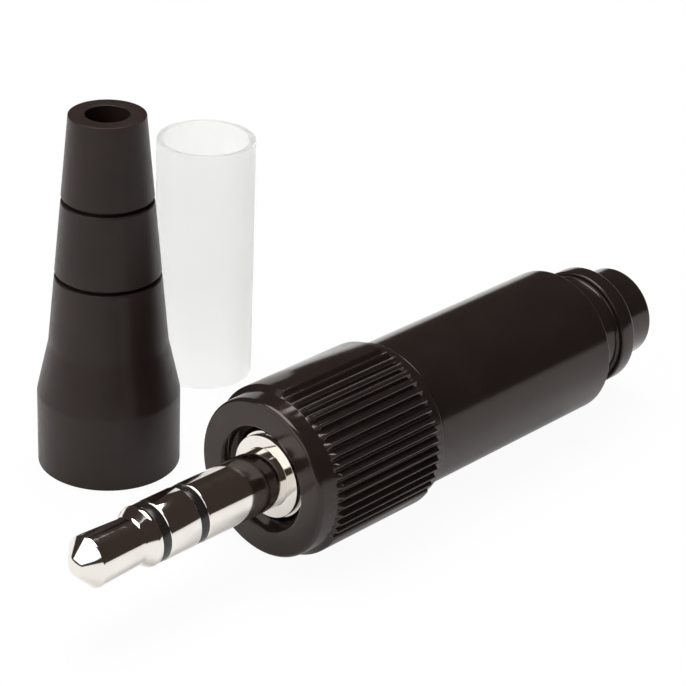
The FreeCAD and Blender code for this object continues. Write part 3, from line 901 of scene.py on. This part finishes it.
STAYING = {
    "ground_lug": tin,
    "ring_lug": tin,
    "tip_lug": tin,
    "ring_lug_washer": black_plastic,
    "tip_lug_washer": black_plastic,
    "nut_retaining_ring": spring_steel,
}
for node, finish in STAYING.items():
    for holder in nodes[node].material_slots:
        holder.material = finish
print("materials:", len(bpy.data.materials))

# %% [markdown]
# The plug lies on a pale floor that runs out of sight. A floor that is only lit would turn grey
# away from the lamps, and one that only glows would lose the shadow, so it does both. For the
# camera, and through the tube, it is almost all glow, which leaves a faint soft shadow. For
# reflections it is mostly lit, so that the metal mirrors the dark shadow under it.

# %% Floor
FLOOR_SIZE = 4.0
FLOOR_COLOUR = grey(0.9)
FLOOR_GLOW = 0.95
FLOOR_GLOW_IN_METAL = 0.35
WHITE = grey(1)


def combine(tree, operation, first, second):
    """Add a Math node that works on two outputs, or on an output and a number."""
    node = tree.nodes.new("ShaderNodeMath")
    node.operation = operation
    for socket, value in zip(node.inputs, (first, second)):
        if isinstance(value, bpy.types.NodeSocket):
            tree.links.new(value, socket)
        else:
            socket.default_value = value
    return node.outputs["Value"]


bpy.ops.object.select_all(action="DESELECT")
bpy.ops.mesh.primitive_plane_add(size=FLOOR_SIZE, location=(0, 0, FLOOR * MM))
floor = bpy.context.object
floor.name = "floor"
floor_finish = bpy.data.materials.new("floor")
floor_finish.use_nodes = True
tree = floor_finish.node_tree
tree.nodes.clear()
output = tree.nodes.new("ShaderNodeOutputMaterial")
blend = tree.nodes.new("ShaderNodeMixShader")
lit = tree.nodes.new("ShaderNodeBsdfDiffuse")
lit.inputs["Color"].default_value = FLOOR_COLOUR
glow = tree.nodes.new("ShaderNodeEmission")
glow.inputs["Color"].default_value = WHITE
glow.inputs["Strength"].default_value = 1.0
rays = tree.nodes.new("ShaderNodeLightPath").outputs
seen = combine(tree, "MAXIMUM", rays["Is Camera Ray"], rays["Is Transmission Ray"])
direct = combine(tree, "MULTIPLY", seen, FLOOR_GLOW)
mirrored = combine(tree, "MULTIPLY", rays["Is Glossy Ray"], FLOOR_GLOW_IN_METAL)
tree.links.new(combine(tree, "MAXIMUM", direct, mirrored), blend.inputs["Fac"])
tree.links.new(lit.outputs["BSDF"], blend.inputs[1])
tree.links.new(glow.outputs["Emission"], blend.inputs[2])
tree.links.new(blend.outputs["Shader"], output.inputs["Surface"])
floor.data.materials.append(floor_finish)
print("floor is", FLOOR_SIZE, "m wide")

# %% [markdown]
# Above the floor is a dim warm room, which is most of what the upper half of the bright shaft
# mirrors. A white room would be simpler, but the shaft would lose its dark bands. The room turns
# white near the horizon, where it meets the floor. Rays that have passed through the tube's wall
# see a white room instead, because the dim one would darken the tube.

# %% Room
ROOM_COLOUR = (0.044, 0.032, 0.028, 1)
HORIZON_HEIGHT = 0.03

world = bpy.data.worlds.new("room")
bpy.context.scene.world = world
world.use_nodes = True
room = world.node_tree
background = room.nodes["Background"]
direction = room.nodes.new("ShaderNodeTexCoord")
split = room.nodes.new("ShaderNodeSeparateXYZ")
ramp = room.nodes.new("ShaderNodeValToRGB")
ramp.color_ramp.elements[0].position = 0.0
ramp.color_ramp.elements[0].color = WHITE
ramp.color_ramp.elements[1].position = HORIZON_HEIGHT
ramp.color_ramp.elements[1].color = ROOM_COLOUR
room.links.new(direction.outputs["Generated"], split.inputs["Vector"])
room.links.new(split.outputs["Z"], ramp.inputs["Fac"])
room.links.new(ramp.outputs["Color"], background.inputs["Color"])
pale = room.nodes.new("ShaderNodeBackground")
pale.inputs["Color"].default_value = WHITE
sight = room.nodes.new("ShaderNodeLightPath")
choice = room.nodes.new("ShaderNodeMixShader")
room.links.new(sight.outputs["Is Transmission Ray"], choice.inputs["Fac"])
room.links.new(background.outputs["Background"], choice.inputs[1])
room.links.new(pale.outputs["Background"], choice.inputs[2])
room.links.new(choice.outputs["Shader"], room.nodes["World Output"].inputs["Surface"])
print("room is", ROOM_COLOUR)

# %% [markdown]
# A soft lamp above lights the floor and gives the shadow. A wide one in front of the tip lights
# what faces forwards, such as the nose cone and the front ends of the knurling. Small lamps would
# put hard spots on the mirror-bright shaft, so both are large flat panels.

# %% Lamps
LAMP_TARGET = Vector((0.005, 0, 0))


def add_lamp(name, place, width, height, power):
    """Hang a flat soft lamp that faces the front of the plug. Sizes are in metres and watts."""
    data = bpy.data.lights.new(name, "AREA")
    data.shape = "RECTANGLE"
    data.size = width
    data.size_y = height
    data.energy = power
    lamp = bpy.data.objects.new(name, data)
    bpy.context.scene.collection.objects.link(lamp)
    lamp.location = place
    lamp.rotation_euler = (LAMP_TARGET - Vector(place)).to_track_quat("-Z", "Y").to_euler()
    return lamp


lamps = [
    add_lamp("top_lamp", (0.05, 0.10, 0.60), width=0.5, height=0.5, power=4.2),
    add_lamp("side_lamp", (-0.45, 0.08, 0.31), width=0.9, height=0.42, power=1.8),
]
bpy.context.scene.view_settings.view_transform = "Standard"
print("lamps:", [lamp.name for lamp in lamps])
